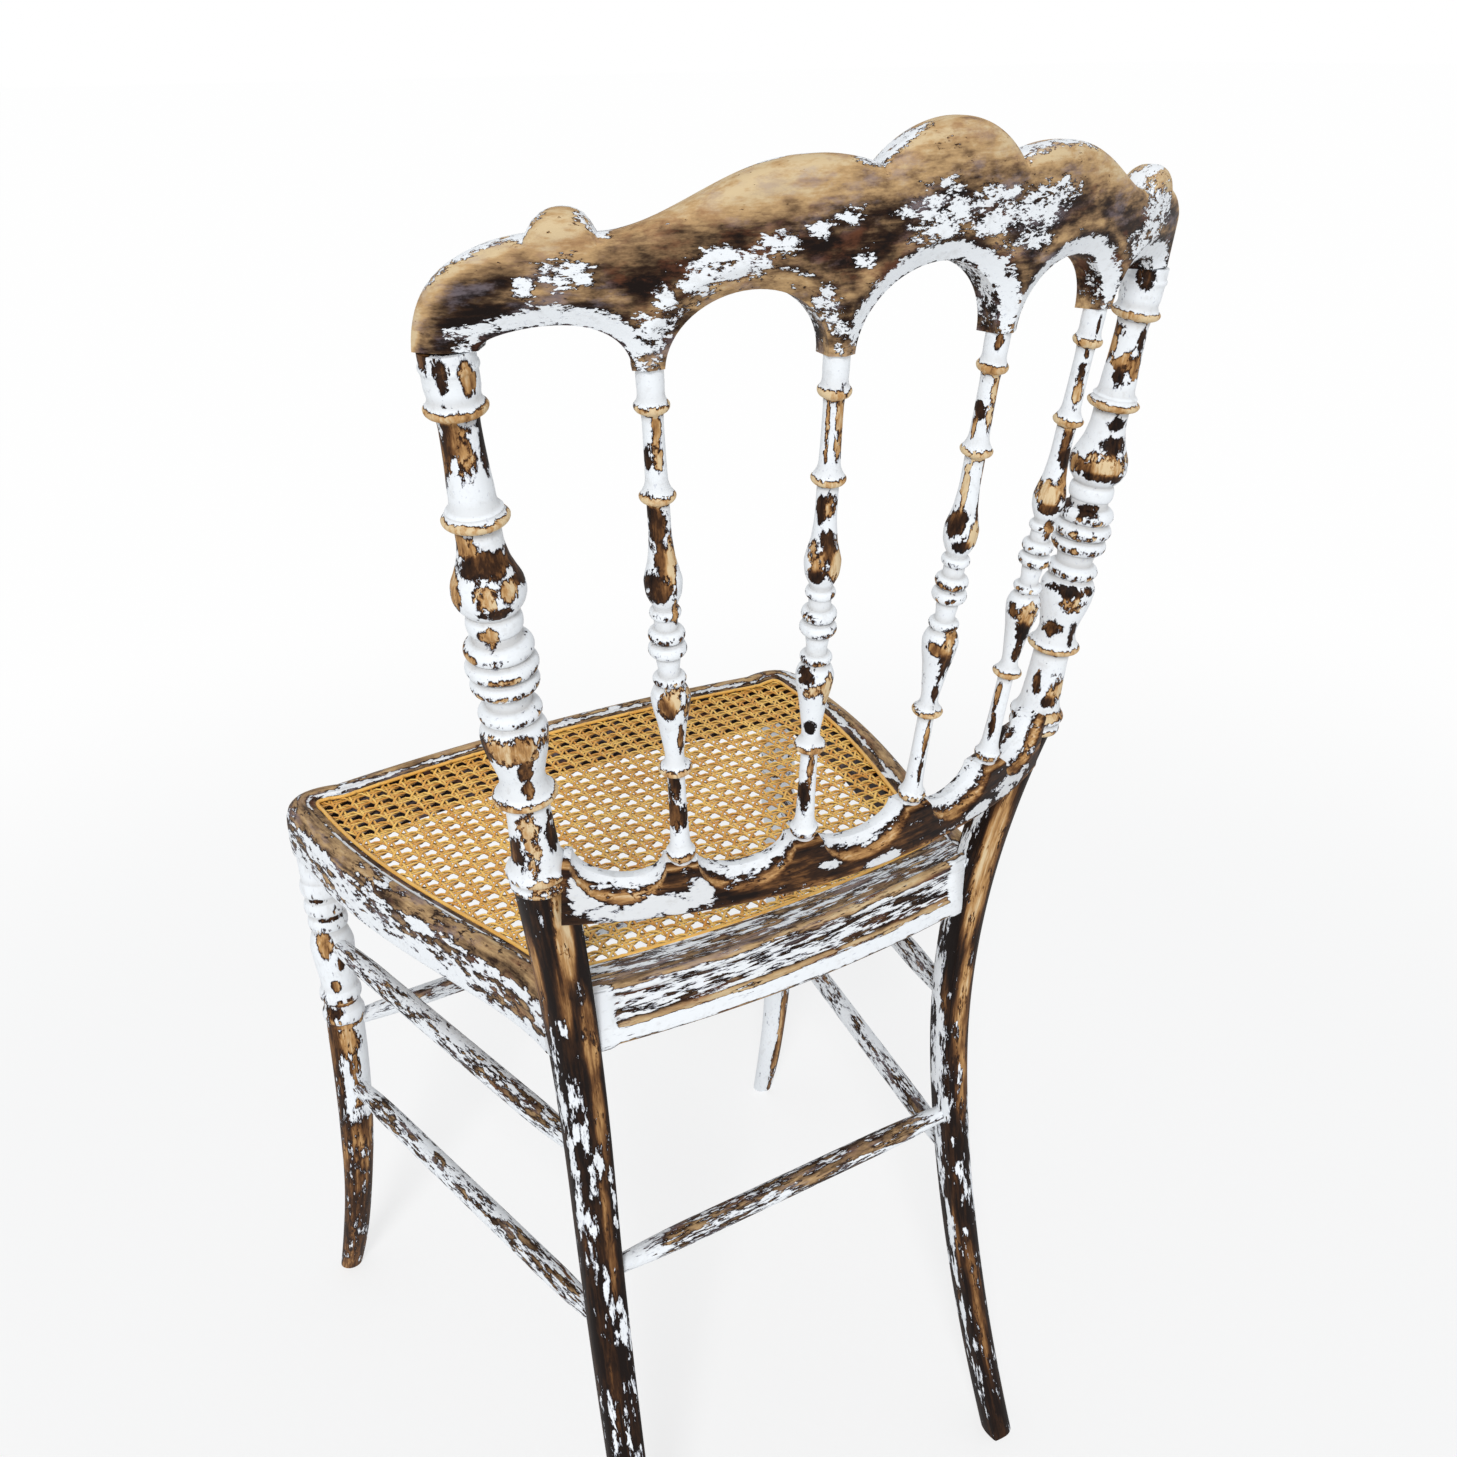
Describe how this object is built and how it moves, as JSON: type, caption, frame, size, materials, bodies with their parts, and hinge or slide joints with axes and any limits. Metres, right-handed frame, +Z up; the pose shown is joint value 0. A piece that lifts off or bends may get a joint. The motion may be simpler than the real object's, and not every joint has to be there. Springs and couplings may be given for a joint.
{
  "type": "side chair",
  "caption": "Side chair with a carved arched crest, turned spindle back, caned seat and splayed sabre legs, its white paint peeling off dark wood.",
  "frame": {"origin": "on the floor, under the middle of the chair's bounding box", "axes": "+Z up, -Y the way the chair faces, +X the sitter's left"},
  "size_m": [0.4048, 0.539, 0.8745],
  "materials": {
    "painted_wood": "white paint, peeling to dark stain and bare wood",
    "stripped_wood": "dark stain and bare wood with flakes of white paint",
    "cane": "golden split cane, satin"
  },
  "bodies": {
    "root": {"crest_rail": "stripped_wood", "rear_post_left": "stripped_wood", "rear_post_right": "stripped_wood", "lower_back_rail": "painted_wood", "spindle_1": "painted_wood", "spindle_2": "painted_wood", "spindle_3": "painted_wood", "spindle_4": "painted_wood", "seat_front_rail": "painted_wood", "seat_rear_rail": "painted_wood", "seat_left_rail": "painted_wood", "seat_right_rail": "painted_wood", "front_leg_left": "painted_wood", "front_leg_right": "painted_wood", "stretcher_front": "painted_wood", "stretcher_rear": "painted_wood", "stretcher_left_upper": "painted_wood", "stretcher_left_lower": "painted_wood", "stretcher_right_upper": "painted_wood", "stretcher_right_lower": "painted_wood", "cane_panel": "cane", "cane_binder": "cane"}
  },
  "joints": []
}
